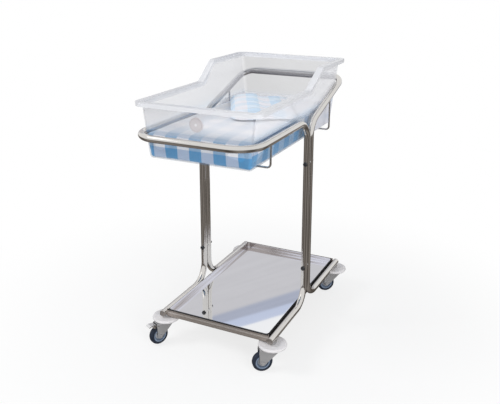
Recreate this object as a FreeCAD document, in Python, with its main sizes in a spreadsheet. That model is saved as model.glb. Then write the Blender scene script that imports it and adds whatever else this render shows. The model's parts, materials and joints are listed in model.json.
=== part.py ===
import FreeCAD, Part
import math
import os
import Sketcher
from FreeCAD import Placement, Rotation, Vector

# Hospital bassinet: a clear tub with its bedding, carried by a bent-tube trolley with a
# shallow tray and four swivelling casters.  Millimetres, +Z up, foot end towards -Y.
# Every piece is drawn around the vertical plane midway between the twin posts (y = 0 there)
# and is then placed so that the whole stands centred over the origin.

DRIVING_SIZES = [
    # tubular frame
    ("tube_dia", 25, "outside diameter of the frame tube"),
    ("tube_wall", 1.5, "wall of the frame tube"),
    ("frame_width", 450, "between the centre lines of the left and right tubes"),
    ("post_gap", 9, "between a front post and a rear post"),
    ("front_rail", 345, "post plane to the front end of the base rails"),
    ("rear_rail", 385, "post plane to the rear end of the base rails"),
    ("rail_bend", 80, "bend radius between base rail and post"),
    ("ring_height", 862, "centre line of the level ring"),
    ("ring_bend", 80, "bend radius between front post and ring"),
    ("ring_reach", 490, "post plane to the foot crossing"),
    ("ring_corner", 90, "corner radius of the foot crossing"),
    ("loop_rise", 18, "slope of the head loop in degrees"),
    ("loop_reach", 392.5, "post plane to the head crossing"),
    ("loop_lift", 104, "head crossing above the ring"),
    ("loop_bend", 70, "bend and corner radius of the head loop"),
    ("head_rod_dia", 16, "rod below the head crossing"),
    ("head_rod_gap", 0.6, "between the rod and the head crossing"),
    # wires that carry the tub
    ("wire_dia", 7, "support wire"),
    ("wire_bend", 14, "bend radius of the support wire"),
    ("front_wire", 352, "post plane to the front support"),
    ("rear_wire", 225, "post plane to the rear support"),
    # bolts that tie each pair of posts
    ("bolt_dia", 8, "post bolt"),
    ("bolt_clearance", 0.2, "hole larger than the bolt by"),
    ("lower_bolt", 272, "height of the lower bolts"),
    ("upper_bolt", 696, "height of the upper bolts"),
    ("spacer_dia", 16, "spacer between the posts"),
    ("cap_dia", 17, "round cap over a bolt head"),
    ("cap_height", 7, "cap proud of the tube"),
    ("cap_edge", 2.5, "bevel around a cap"),
    ("nut_flats", 13, "across the flats of the bolt nuts"),
    ("nut_height", 6.5, "hexagon of a nut"),
    ("nut_dome_dia", 11.5, "domed end of a cap nut"),
    ("nut_dome", 7, "height of the domed end"),
    ("nut_edge", 3.5, "bevel of the domed end"),
    # tray
    ("pan_gap", 4.5, "between the pan and the rails"),
    ("pan_front_inset", 19, "front wall of the pan short of the rail ends"),
    ("pan_rear_inset", 15, "rear wall of the pan short of the rail ends"),
    ("pan_drop", 7, "underside of the pan below the rail's centre line"),
    ("pan_height", 22.5, "height of the pan walls"),
    ("pan_sheet", 1.5, "sheet of the pan"),
    ("pan_corner", 12, "corner radius of the pan"),
    ("trim_wall", 1.8, "rubber strip around the outside of the pan"),
    ("trim_drop", 16.5, "lower edge of the strip below the top of the pan"),
    ("trim_setback", 0.5, "upper edge of the strip below the top of the pan"),
    ("bar_sheet", 3, "angle bars under the pan"),
    ("bar_height", 30, "upright leg of an angle bar"),
    ("bar_ledge", 25, "level leg of an angle bar"),
    ("bar_skirt", 4, "upright leg below the level one"),
    ("bar_gap", 0.2, "between the angle bar and the edge trim"),
    ("bar_lap", 1.5, "end of an angle bar let into the rail"),
    ("plug_depth", 12, "end plug inside the rail"),
    ("plug_cap", 2, "end plug outside the rail"),
    # casters
    ("front_inset", 25, "front swivel axes short of the rail ends"),
    ("rear_inset", 23, "rear swivel axes short of the rail ends"),
    ("stem_dia", 11, "caster stem"),
    ("stem_head_dia", 17, "riveted head under the fork"),
    ("stem_head", 2.4, "thickness of the riveted head"),
    ("socket_dia", 18, "socket that holds a stem in the rail"),
    ("socket_rise", 5, "upper end of the socket above the rail's centre line"),
    ("socket_cap", 2, "solid top of the socket over the stem"),
    ("collar_dia", 30, "collar under the rail"),
    ("collar_height", 5.5, "collar between the bumper disc and the rail"),
    ("collar_lap", 3.5, "collar standing up around the rail"),
    ("running", 0.05, "radial clearance of a turning fit"),
    ("end_gap", 0.1, "axial gap of a turning fit"),
    ("disc_dia", 105, "bumper disc"),
    ("disc_thick", 12, "bumper disc"),
    ("disc_edge", 5, "rounding of the bumper disc"),
    ("bearing_dia", 42, "swivel bearing"),
    ("bearing_height", 3, "between the fork and the bumper disc"),
    ("bearing_step", 5, "upper ring of the bearing narrower all round"),
    ("crown_gap", 14.5, "between the wheel and the crown of the fork"),
    ("fork_sheet", 2.5, "sheet of the fork"),
    ("fork_slot", 28, "between the legs of the fork"),
    ("crown_front", 24, "swivel axis to the leading edge of the fork"),
    ("crown_rear", 50, "swivel axis to the trailing edge of the fork"),
    ("crown_depth", 12, "upright edge below the leading corner"),
    ("crown_rake", 2, "lower corner of the trailing edge further out"),
    ("leg_end", 11, "radius of the fork around the axle"),
    ("leg_toe", 4, "leading edge of a leg meets the rounded end below the axle"),
    ("trail", 38, "swivel axis to the wheel axle"),
    ("wheel_dia", 75, "wheel over the tyre"),
    ("wheel_width", 24, "tyre"),
    ("tyre_inner", 54, "inside diameter of the tyre"),
    ("tyre_edge", 7, "rounding of the tyre's shoulders"),
    ("rim_depth", 5, "radial thickness of the wheel rim"),
    ("rim_setback", 1, "rim of the wheel behind the tyre's sides"),
    ("web_width", 9, "web of the wheel"),
    ("hub_dia", 20, "hub of the wheel"),
    ("axle_dia", 8, "wheel axle"),
    ("head_height", 5, "hexagon head of the axle bolt"),
    ("brake_pin_x", 46, "swivel axis to the brake pivot"),
    ("brake_pin_drop", 10, "brake pivot below the top of the fork"),
    ("brake_pin_dia", 4, "brake pivot"),
    ("brake_pin_end", 1, "brake pivot proud of the fork"),
    ("pedal_width", 26, "brake pedal"),
    ("pedal_length", 39, "brake pedal from its pivot"),
    ("barrel_wall", 2.2, "wall of the pedal's barrel around the pivot"),
    ("front_left_turn", 245, "direction of the trailing wheel in degrees"),
    ("front_right_turn", 217, "direction of the trailing wheel in degrees"),
    ("rear_left_turn", 245, "direction of the trailing wheel in degrees"),
    ("rear_right_turn", 220, "direction of the trailing wheel in degrees"),
    # tub
    ("tub_hang", 85, "ring's centre line down to the bottom of the tub"),
    ("tub_wall", 3, "wall of the tub"),
    ("ring_gap", 9.7, "between the side walls and the ring"),
    ("foot_gap", 38, "between the foot wall and the ring"),
    ("head_gap", 23.6, "between the head wall and the head rod"),
    ("side_draft", 6.1, "slope of the side walls in degrees"),
    ("foot_draft", 2.4, "slope of the foot wall in degrees"),
    ("head_draft", 2.8, "slope of the head wall in degrees"),
    ("tub_corner", 14, "upright corners of the tub"),
    ("tub_bottom_edge", 11, "radius around the bottom"),
    ("foot_depth", 197, "height of the tub at the foot"),
    ("head_depth", 268, "height of the tub at the head"),
    ("rim_step", 36, "middle of the rim's step behind the middle of the posts"),
    ("rim_run", 110, "length of the step between low and high rim"),
    ("rim_bend", 30, "radius of the two bends of the step"),
    ("flange", 22, "rim turned out from the wall"),
    ("rim_lip", 15, "rim turned down"),
    ("port_dia", 42, "round port in the foot wall"),
    ("port_drop", 60, "middle of the port below the rim"),
    ("port_cover_dia", 50, "cover over the port"),
    ("port_cover", 2.5, "thickness of the port cover"),
    ("cover_edge", 1.2, "bevel of the port cover"),
    ("cover_boss_dia", 9, "boss in the middle of the port cover"),
    ("cover_boss", 1.5, "height of the boss"),
    # bedding
    ("bed_gap", 0.3, "soft pieces clear of what they lie on"),
    ("bed_side", 1.5, "mattress clear of the tub walls"),
    ("bed_thick", 90, "mattress"),
    ("bed_edge", 6, "bevel around the mattress"),
    ("pillow_room", 150, "pillow narrower than the bottom of the tub"),
    ("pillow_depth", 342, "pillow front to back"),
    ("pillow_thick", 44, "pillow"),
    ("pillow_corner", 27, "upright corners of the pillow"),
    ("pillow_edge", 14, "bevel around the pillow"),
    ("pillow_turn", 27.7, "pillow lies askew by this many degrees"),
    ("pillow_x", 4.9, "middle of the pillow"),
    ("pillow_y", 50.3, "middle of the pillow"),
]


class Dim:
    """A size: its number and the spreadsheet expression that drives it."""

    def __init__(self, text, value):
        self.text, self.value = text, float(value)

    def __float__(self):
        return self.value

    def __add__(self, other):
        return joined(self, "+", other, self.value + float(other))

    def __radd__(self, other):
        return joined(other, "+", self, float(other) + self.value)

    def __sub__(self, other):
        return joined(self, "-", other, self.value - float(other))

    def __rsub__(self, other):
        return joined(other, "-", self, float(other) - self.value)

    def __mul__(self, other):
        return joined(self, "*", other, self.value * float(other))

    __rmul__ = __mul__

    def __truediv__(self, other):
        return joined(self, "/", other, self.value / float(other))

    def __neg__(self):
        return -1 * self


def joined(left, sign, right, value):
    texts = [side.text if isinstance(side, Dim) else repr(side) for side in (left, right)]
    return Dim("({} {} {})".format(texts[0], sign, texts[1]), value)


def turned(function, angle):
    """Sine, cosine or tangent of a size in degrees."""
    value = getattr(math, function)(math.radians(float(angle)))
    return Dim("{}({} * 1 deg)".format(function, angle.text), value)


class Sizes:
    """The driving sizes, one attribute each."""


doc = FreeCAD.newDocument("bassinet")
sheet = doc.addObject("Spreadsheet::Sheet", "Sizes")
size = Sizes()
for row, (name, value, meaning) in enumerate(DRIVING_SIZES, start=1):
    sheet.set("A{}".format(row), meaning)
    sheet.set("B{}".format(row), str(value))
    sheet.setAlias("B{}".format(row), name)
    setattr(size, name, Dim("Sizes." + name, value))
doc.recompute()

tube_r = size.tube_dia / 2
half = size.frame_width / 2
rear_post = (size.tube_dia + size.post_gap) / 2
front_post = -rear_post
front_caster = size.front_rail - size.front_inset
rear_caster = size.rear_rail - size.rear_inset
post_plane = (size.ring_reach + tube_r - rear_caster - size.disc_dia / 2) / 2

# heights of the casters and the rail above them
axle_height = size.wheel_dia / 2
crown_under = size.wheel_dia + size.crown_gap
crown_top = crown_under + size.fork_sheet
disc_low = crown_top + size.bearing_height
disc_top = disc_low + size.disc_thick
rail_height = disc_top + size.collar_height + tube_r
collar_top = disc_top + size.collar_height + size.collar_lap
stem_r = size.stem_dia / 2
stem_bore = stem_r + size.running
socket_top = rail_height + size.socket_rise
stem_top = socket_top - size.socket_cap
brake_pin_z = crown_top - size.brake_pin_drop

# tray
pan_half = half - tube_r - size.pan_gap
pan_front = size.front_rail - size.pan_front_inset
pan_rear = size.rear_rail - size.pan_rear_inset
pan_floor = rail_height - size.pan_drop

# head loop and the rod below its crossing
loop_height = size.ring_height + size.loop_lift
rod_back = tube_r + size.head_rod_dia / 2 + size.head_rod_gap
rod_y = size.loop_reach - rod_back * turned("cos", size.loop_rise)
rod_z = loop_height - rod_back * turned("sin", size.loop_rise)

# tub hanging in the ring, and its bedding
tub_bottom = size.ring_height - size.tub_hang
tub_half = half - tube_r - size.ring_gap - size.tub_hang * turned("tan", size.side_draft)
tub_foot = size.ring_reach - tube_r - size.foot_gap - size.tub_hang * turned("tan", size.foot_draft)
tub_head = rod_y - size.head_rod_dia / 2 - size.head_gap - (rod_z - tub_bottom) * turned("tan", size.head_draft)
rim_low = tub_bottom + size.foot_depth
rim_high = tub_bottom + size.head_depth
port_height = rim_low - size.port_drop
mattress_low = tub_bottom + size.tub_wall + size.bed_gap
mattress_top = mattress_low + size.bed_thick
wire_height = tub_bottom - size.wire_dia / 2


# ---- document helpers -------------------------------------------------------------------------

def bind(thing, path, amount):
    """Drive one property of a document object by a size."""
    thing.setExpression(path, amount.text if isinstance(amount, Dim) else str(amount))


def place(thing, label, x=0, y=0, z=0, turn=None):
    """Name a sub-part and stand it in the common frame, turned about the vertical."""
    thing.Label = label
    if turn is not None:
        thing.Placement.Rotation = Rotation(Vector(0, 0, 1), float(turn))
        bind(thing, ".Placement.Rotation.Angle", turn * 1 if isinstance(turn, Dim) else turn)
    bind(thing, ".Placement.Base.x", x)
    bind(thing, ".Placement.Base.y", y + post_plane)
    bind(thing, ".Placement.Base.z", z)
    return thing


def shape_part(label, shape):
    """A sub-part whose shape comes straight from solid geometry."""
    feature = doc.addObject("Part::Feature", label)
    feature.Shape = shape
    return place(feature, label)


def new_body(label):
    return doc.addObject("PartDesign::Body", label)


def new_sketch(body, role, lift=0):
    """Sketch on one origin plane of its body, lifted along the plane's normal."""
    sketch = body.newObject("Sketcher::SketchObject", "profile")
    plane = next(item for item in body.Origin.OriginFeatures if item.Role == role)
    sketch.AttachmentSupport = [(plane, "")]
    sketch.MapMode = "FlatFace"
    bind(sketch, ".AttachmentOffset.Base.z", lift)
    return sketch


def pin(sketch, geometry, point, position):
    """Hold one point of the sketch at its two distances from the sketch origin."""
    for kind, distance in zip(("DistanceX", "DistanceY"), position):
        rule = Sketcher.Constraint(kind, -1, 1, geometry, point, float(distance))
        number = sketch.addConstraint(rule)
        if isinstance(distance, Dim):
            bind(sketch, "Constraints[{}]".format(number), distance)


def join(sketch, first, first_point, second, second_point):
    sketch.addConstraint(Sketcher.Constraint("Coincident", first, first_point, second, second_point))


def polygon(sketch, points):
    """Closed outline with straight sides."""
    flat = [Vector(float(x), float(y)) for x, y in points]
    lines = [sketch.addGeometry(Part.LineSegment(a, b)) for a, b in zip(flat, flat[1:] + flat[:1])]
    for line, following in zip(lines, lines[1:] + lines[:1]):
        join(sketch, line, 2, following, 1)
    for line, position in zip(lines, points):
        pin(sketch, line, 1, position)


def circle(sketch, radius, x=0, y=0):
    item = sketch.addGeometry(Part.Circle(Vector(float(x), float(y)), Vector(0, 0, 1), float(radius)))
    pin(sketch, item, 3, (x, y))
    number = sketch.addConstraint(Sketcher.Constraint("Radius", item, float(radius)))
    bind(sketch, "Constraints[{}]".format(number), radius)


def rounded_rectangle(sketch, left, right, low, high, radius):
    """Closed rectangle with four round corners."""
    sides = [((left + radius, low), (right - radius, low)), ((right, low + radius), (right, high - radius)),
             ((right - radius, high), (left + radius, high)), ((left, high - radius), (left, low + radius))]
    centres = [(right - radius, low + radius), (right - radius, high - radius),
               (left + radius, high - radius), (left + radius, low + radius)]
    lines = []
    for ends in sides:
        start, end = (Vector(float(x), float(y)) for x, y in ends)
        line = sketch.addGeometry(Part.LineSegment(start, end))
        pin(sketch, line, 1, ends[0])
        pin(sketch, line, 2, ends[1])
        lines.append(line)
    for corner, (x, y) in enumerate(centres):
        whole = Part.Circle(Vector(float(x), float(y)), Vector(0, 0, 1), float(radius))
        start = (corner - 1) * math.pi / 2
        arc = sketch.addGeometry(Part.ArcOfCircle(whole, start, start + math.pi / 2))
        join(sketch, arc, 1, lines[corner], 2)
        join(sketch, arc, 2, lines[(corner + 1) % 4], 1)


def pad(body, sketch, length, both_ways=False):
    feature = body.newObject("PartDesign::Pad", "pad")
    feature.Profile = sketch
    feature.Midplane = both_ways
    bind(feature, "Length", length)
    return feature


def pocket(body, sketch, length, both_ways=False, upwards=False):
    feature = body.newObject("PartDesign::Pocket", "pocket")
    feature.Profile = sketch
    feature.Midplane = both_ways
    feature.Reversed = upwards
    bind(feature, "Length", length)
    return feature


def revolve(body, sketch, axis="V_Axis"):
    feature = body.newObject("PartDesign::Revolution", "revolution")
    feature.Profile = sketch
    feature.ReferenceAxis = (sketch, [axis])
    feature.Angle = 360
    return feature


def dressed(body, kind, amount_name, amount, chosen):
    """Treat the edges of the body's last feature for which chosen(edge) holds."""
    base = body.Tip
    doc.recompute()
    names = ["Edge{}".format(i) for i, edge in enumerate(base.Shape.Edges, start=1) if chosen(edge)]
    feature = body.newObject("PartDesign::" + kind, kind.lower())
    feature.Base = (base, names)
    bind(feature, amount_name, amount)
    return feature


def fillet(body, radius, chosen):
    return dressed(body, "Fillet", "Radius", radius, chosen)


def chamfer(body, width, chosen):
    return dressed(body, "Chamfer", "Size", width, chosen)


# ---- solid geometry helpers -------------------------------------------------------------------

def point(x, y, z):
    return Vector(float(x), float(y), float(z))


def cylinder(radius, start, end):
    return Part.makeCylinder(float(radius), (end - start).Length, start, end - start)


def bent_bar(points, bends, radius, bore=0):
    """Round bar or tube along straight runs with a circular bend at every inner point."""
    edges, start = [], points[0]
    for before, corner, after, bend in zip(points, points[1:], points[2:], bends):
        back, ahead = (before - corner).normalize(), (after - corner).normalize()
        opening = back.getAngle(ahead)
        reach = float(bend) / math.tan(opening / 2)
        centre = corner + (back + ahead).normalize() * (float(bend) / math.sin(opening / 2))
        crest = centre + (corner - centre).normalize() * float(bend)
        edges += [Part.makeLine(start, corner + back * reach),
                  Part.Arc(corner + back * reach, crest, corner + ahead * reach).toShape()]
        start = corner + ahead * reach
    edges.append(Part.makeLine(start, points[-1]))
    rings = [Part.Wire(Part.makeCircle(float(r), points[0], points[1] - points[0])) for r in (radius, bore) if r]
    return Part.Wire(edges).makePipe(Part.makeFace(rings, "Part::FaceMakerBullseye"))


def mirrored_path(left_points):
    """A path on the left followed back along the right side."""
    return left_points + [Vector(-p.x, p.y, p.z) for p in reversed(left_points)]


def largest(shape):
    return max(shape.Solids, key=lambda solid: solid.Volume)


def group(solids):
    return Part.makeCompound(solids)


# ---- frame ------------------------------------------------------------------------------------

def front_path():
    return mirrored_path([point(-half, -size.front_rail, rail_height),
                          point(-half, front_post, rail_height),
                          point(-half, front_post, size.ring_height),
                          point(-half, -size.ring_reach, size.ring_height)])


def loop_line(y):
    """Height of the sloping head loop's centre line."""
    return loop_height - (size.loop_reach - y) * turned("tan", size.loop_rise)


def rear_path():
    return mirrored_path([point(-half, size.rear_rail, rail_height),
                          point(-half, rear_post, rail_height),
                          point(-half, rear_post, loop_line(rear_post)),
                          point(-half, size.loop_reach, loop_height)])


front_bends = [size.rail_bend, size.ring_bend, size.ring_corner]
rear_bends = [size.rail_bend, size.loop_bend, size.loop_bend]
front_solid = bent_bar(front_path(), front_bends + front_bends[::-1], tube_r)
rear_solid = bent_bar(rear_path(), rear_bends + rear_bends[::-1], tube_r)
sides = (-1, 1)
caster_rows = (-front_caster, rear_caster)
bolt_rows = (size.lower_bolt, size.upper_bolt)


def socket_holes():
    """Round blanks that open the underside of the rails for the caster sockets."""
    return [upright(side * half, y, disc_top, rail_height, size.socket_dia / 2)
            for side in sides for y in caster_rows]


def bolt_axis(side, z, start, end, radius):
    return cylinder(radius, point(side * half, start, z), point(side * half, end, z))


def bolt_holes():
    radius = (size.bolt_dia + size.bolt_clearance) / 2
    return [bolt_axis(side, z, -size.tube_dia * 2, size.tube_dia * 2, radius)
            for side in sides for z in bolt_rows]


def frame_tube(label, path, bends):
    tube = bent_bar(path, bends + bends[::-1], tube_r, tube_r - size.tube_wall)
    return shape_part(label, tube.cut(socket_holes() + bolt_holes()))


def head_cross_rod():
    rod = cylinder(size.head_rod_dia / 2, point(-half, rod_y, rod_z), point(half, rod_y, rod_z))
    return shape_part("head_cross_rod", middle_of(rod.cut(rear_solid)))


def middle_of(shape):
    """The solid of a cut bar that crosses the middle plane."""
    return next(s for s in shape.Solids if s.BoundBox.XMin < 0 < s.BoundBox.XMax)


def wire_support(label, y, top, tube):
    path = mirrored_path([point(-half, y, top), point(-half, y, wire_height)])
    wire = bent_bar(path, [size.wire_bend] * 2, size.wire_dia / 2)
    return shape_part(label, largest(wire.cut(tube)))


def post_bolts():
    start = front_post - tube_r - size.cap_height / 2
    end = rear_post + tube_r + size.nut_height
    return shape_part("post_bolts", group([bolt_axis(side, z, start, end, size.bolt_dia / 2)
                                           for side in sides for z in bolt_rows]))


def post_spacers():
    hole = (size.bolt_dia + size.bolt_clearance) / 2
    solids = []
    for side in sides:
        for z in bolt_rows:
            sleeve = bolt_axis(side, z, front_post, rear_post, size.spacer_dia / 2)
            solids.append(largest(sleeve.cut([front_solid, rear_solid,
                                              bolt_axis(side, z, front_post, rear_post, hole)])))
    return shape_part("post_spacers", group(solids))


def bolt_caps():
    """Round caps seated on the tubes over the bolt heads."""
    outer, inner = front_post - tube_r - size.cap_height, front_post
    solids = []
    for side in sides:
        for z in bolt_rows:
            cap = bolt_axis(side, z, inner, outer, size.cap_dia / 2)
            edge = [e for e in cap.Edges if e.BoundBox.YMax < float(outer) + 0.01]
            cap = cap.makeChamfer(float(size.cap_edge), edge)
            bolt = bolt_axis(side, z, inner, front_post - tube_r - size.cap_height / 2, size.bolt_dia / 2)
            solids.append(largest(cap.cut([front_solid, bolt])))
    return shape_part("bolt_caps", group(solids))


def hexagon_corners(flats):
    corner, flat = flats / math.sqrt(3), flats / 2
    return [(corner, flat * 0), (corner / 2, flat), (-corner / 2, flat),
            (-corner, flat * 0), (-corner / 2, -flat), (corner / 2, -flat)]


def hexagon_prism(flats, start, length):
    """Hexagon along +Y."""
    corners = [start + point(x, 0, z) for x, z in hexagon_corners(flats)]
    return Part.Face(Part.makePolygon(corners + corners[:1])).extrude(point(0, length, 0))


def post_nuts():
    """Domed cap nuts seated on the tubes."""
    base, seat = rear_post, rear_post + tube_r
    solids = []
    for side in sides:
        for z in bolt_rows:
            flank = seat + size.nut_height
            nut = hexagon_prism(size.nut_flats, point(side * half, base, z), flank - base)
            dome = bolt_axis(side, z, flank, flank + size.nut_dome, size.nut_dome_dia / 2)
            tip = [e for e in dome.Edges if e.BoundBox.YMin > float(flank) + 1 and len(e.Vertexes) == 1]
            dome = dome.makeChamfer(float(size.nut_edge), tip)
            bolt = bolt_axis(side, z, base, flank, size.bolt_dia / 2)
            solids.append(largest(nut.fuse(dome).cut([rear_solid, bolt])))
    return shape_part("post_nuts", group(solids))


# ---- tray -------------------------------------------------------------------------------------

def pan_outline(sketch, grow):
    """Outline of the pan moved outwards."""
    rounded_rectangle(sketch, -pan_half - grow, pan_half + grow,
                      -pan_front - grow, pan_rear + grow, size.pan_corner + grow)


def tray_pan():
    body = new_body("tray_pan")
    outside = new_sketch(body, "XY_Plane", pan_floor)
    pan_outline(outside, size.pan_sheet * 0)
    pad(body, outside, size.pan_height)
    inside = new_sketch(body, "XY_Plane", pan_floor + size.pan_height)
    pan_outline(inside, -size.pan_sheet)
    pocket(body, inside, size.pan_height - size.pan_sheet)
    return place(body, "tray_pan")


def tray_edge_trim():
    """Rubber strip between the pan walls and the frame."""
    body = new_body("tray_edge_trim")
    ring = new_sketch(body, "XY_Plane", pan_floor + size.pan_height - size.trim_drop)
    pan_outline(ring, size.trim_wall)
    pan_outline(ring, size.trim_wall * 0)
    pad(body, ring, size.trim_drop - size.trim_setback)
    return place(body, "tray_edge_trim")


def tray_bar(label, pan_wall, outwards):
    """Angle bar across the rails: an upright leg outside the pan and a ledge beneath it."""
    inner = pan_wall + outwards * (size.trim_wall + size.bar_gap)
    outer = inner + outwards * size.bar_sheet
    ledge = outer - outwards * size.bar_ledge
    shelf = pan_floor - size.bar_sheet
    low = shelf - size.bar_skirt
    corners = [(outer, low), (outer, low + size.bar_height), (inner, low + size.bar_height),
               (inner, pan_floor), (ledge, pan_floor), (ledge, shelf), (inner, shelf), (inner, low)]
    end = half - tube_r + size.bar_lap
    ring = [point(-end, y, z) for y, z in corners]
    bar = Part.Face(Part.makePolygon(ring + ring[:1])).extrude(point(end * 2, 0, 0))
    return shape_part(label, middle_of(bar.cut([front_solid, rear_solid] + caster_collars())))


def rail_end_plugs():
    solids = []
    for side in sides:
        for y, outwards in ((-size.front_rail, -1), (size.rear_rail, 1)):
            stop = point(side * half, y, rail_height)
            way = Vector(0, outwards, 0)
            cap = cylinder(tube_r, stop, stop + way * float(size.plug_cap))
            rim = [e for e in cap.Edges if len(e.Vertexes) == 1
                   and abs(e.CenterOfMass.y - float(y) - outwards * float(size.plug_cap)) < 0.01]
            cap = cap.makeChamfer(float(size.plug_cap) / 2, rim)
            spigot = cylinder(tube_r - size.tube_wall, stop - way * float(size.plug_depth), stop)
            solids.append(cap.fuse(spigot))
    return shape_part("rail_end_plugs", group(solids))


# ---- casters ----------------------------------------------------------------------------------

def upright(x, y, low, high, radius):
    return cylinder(radius, point(x, y, low), point(x, y, high))


def caster_collars():
    return [upright(side * half, y, disc_top + size.end_gap, collar_top, size.collar_dia / 2)
            for side in sides for y in caster_rows]


def caster_sockets():
    """Collar under the rail with a sleeve that stands inside the tube."""
    low = disc_top + size.end_gap
    solids = []
    places = [(side * half, y) for side in sides for y in caster_rows]
    for (x, y), collar in zip(places, caster_collars()):
        collar = collar.cut([front_solid, rear_solid])
        sleeve = upright(x, y, low, socket_top, size.socket_dia / 2)
        solids.append(collar.fuse(sleeve).cut(upright(x, y, low, stem_top, stem_r)))
    return shape_part("caster_sockets", group(solids))


def caster_stems():
    """Stems with a riveted head that carries the fork."""
    head_top = crown_under - size.end_gap
    solids = []
    for side in sides:
        for y in caster_rows:
            shank = upright(side * half, y, head_top - size.stem_head, stem_top, stem_r)
            head = upright(side * half, y, head_top - size.stem_head, head_top, size.stem_head_dia / 2)
            solids.append(shank.fuse(head))
    return shape_part("caster_stems", group(solids))


def eased(x, y, ease, inwards):
    """Outer corner of a turned profile, rounded off by two flats."""
    cut = ease * (1 - math.sqrt(0.5))
    return [(x, y + inwards * ease), (x - cut, y + inwards * cut), (x - ease, y)]


def bumper_disc(label, x, y):
    body = new_body(label)
    section = new_sketch(body, "XZ_Plane")
    outer, low, high = size.disc_dia / 2, size.disc_thick * 0, size.disc_thick
    polygon(section, [(stem_bore, high), (stem_bore, low)] + eased(outer, low, size.disc_edge, 1)[::-1]
            + eased(outer, high, size.disc_edge, -1))
    revolve(body, section)
    return place(body, label, x, y, disc_low)


def swivel_bearing(label, x, y, turn):
    """Stepped race on the crown of the fork."""
    body = new_body(label)
    height = size.bearing_height - size.end_gap
    race = new_sketch(body, "XZ_Plane")
    outer, step = size.bearing_dia / 2, size.bearing_dia / 2 - size.bearing_step
    polygon(race, [(stem_bore, height * 0), (outer, height * 0), (outer, height / 2), (step, height / 2),
                   (step, height), (stem_bore, height)])
    revolve(body, race)
    return place(body, label, x, y, crown_top, turn)


def caster_fork(label, x, y, turn, braked):
    """Pressed fork: a crown over the wheel and two legs tapering to the axle."""
    body = new_body(label)
    side = new_sketch(body, "XZ_Plane")
    front, rear = -size.crown_front, size.crown_rear
    corner = crown_top - size.crown_depth
    polygon(side, [(front, corner), (size.trail - size.leg_end, axle_height - size.leg_toe),
                   (size.trail + size.leg_end, axle_height), (rear + size.crown_rake, corner),
                   (rear, crown_top), (front, crown_top)])
    pad(body, side, size.fork_slot + 2 * size.fork_sheet, both_ways=True)
    foot = new_sketch(body, "XZ_Plane")
    circle(foot, size.leg_end, size.trail, axle_height)
    pad(body, foot, size.fork_slot + 2 * size.fork_sheet, both_ways=True)
    fillet(body, size.fork_sheet * 2, lambda edge: edge.BoundBox.ZMin > float(crown_top) - 0.01
           and edge.BoundBox.YLength < 0.01)
    slot = new_sketch(body, "YZ_Plane")
    polygon(slot, [(-size.fork_slot / 2, axle_height * 0), (size.fork_slot / 2, axle_height * 0),
                   (size.fork_slot / 2, crown_under), (-size.fork_slot / 2, crown_under)])
    pocket(body, slot, size.wheel_dia * 3, both_ways=True)
    bore = new_sketch(body, "XY_Plane", crown_top)
    circle(bore, stem_bore)
    pocket(body, bore, size.fork_sheet * 2)
    axle = new_sketch(body, "XZ_Plane")
    circle(axle, size.axle_dia / 2, size.trail, axle_height)
    if braked:
        circle(axle, size.brake_pin_dia / 2, size.brake_pin_x, brake_pin_z)
    pocket(body, axle, size.fork_slot * 2, both_ways=True)
    return place(body, label, x, y, 0, turn)


def axle_place(x, y, turn):
    return x + size.trail * turned("cos", turn), y + size.trail * turned("sin", turn)


def tyre(label, x, y, turn):
    body = new_body(label)
    section = new_sketch(body, "XY_Plane")
    outer, inner, side = size.wheel_dia / 2, size.tyre_inner / 2, size.wheel_width / 2
    polygon(section, [(inner, side), (inner, -side)] + eased(outer, -side, size.tyre_edge, 1)[::-1]
            + eased(outer, side, size.tyre_edge, -1))
    revolve(body, section)
    return place(body, label, *axle_place(x, y, turn), axle_height, turn)


def wheel_hub(label, x, y, turn):
    """Rim, web and hub turned about the axle."""
    body = new_body(label)
    section = new_sketch(body, "XY_Plane")
    bore, hub = size.axle_dia / 2 + size.running, size.hub_dia / 2
    rim, seat = size.tyre_inner / 2 - size.rim_depth, size.tyre_inner / 2
    long, web = size.fork_slot / 2 - size.end_gap, size.web_width / 2
    wide = size.wheel_width / 2 - size.rim_setback
    polygon(section, [(bore, -long), (hub, -long), (hub, -web), (rim, -web), (rim, -wide), (seat, -wide),
                      (seat, wide), (rim, wide), (rim, web), (hub, web), (hub, long), (bore, long)])
    revolve(body, section)
    return place(body, label, *axle_place(x, y, turn), axle_height, turn)


def axle_bolt(label, x, y, turn):
    """Axle with a hexagon head outside one leg."""
    body = new_body(label)
    outside = size.fork_slot / 2 + size.fork_sheet
    shank = new_sketch(body, "XZ_Plane", -outside)
    circle(shank, size.axle_dia / 2)
    pad(body, shank, outside * 2 + size.nut_height)
    head = new_sketch(body, "XZ_Plane", -outside - size.head_height)
    polygon(head, hexagon_corners(size.nut_flats))
    pad(body, head, size.head_height)
    return place(body, label, *axle_place(x, y, turn), axle_height, turn)


def axle_nut(label, x, y, turn):
    body = new_body(label)
    outside = size.fork_slot / 2 + size.fork_sheet
    flank = new_sketch(body, "XZ_Plane", outside)
    polygon(flank, hexagon_corners(size.nut_flats))
    circle(flank, size.axle_dia / 2)
    pad(body, flank, size.nut_height)
    return place(body, label, *axle_place(x, y, turn), axle_height, turn)


def brake_place(x, y, turn):
    return x + size.brake_pin_x * turned("cos", turn), y + size.brake_pin_x * turned("sin", turn)


def brake_pin(label, x, y, turn):
    body = new_body(label)
    shank = new_sketch(body, "XZ_Plane")
    circle(shank, size.brake_pin_dia / 2)
    pad(body, shank, size.fork_slot + 2 * (size.fork_sheet + size.brake_pin_end), both_ways=True)
    return place(body, label, *brake_place(x, y, turn), brake_pin_z, turn)


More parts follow.
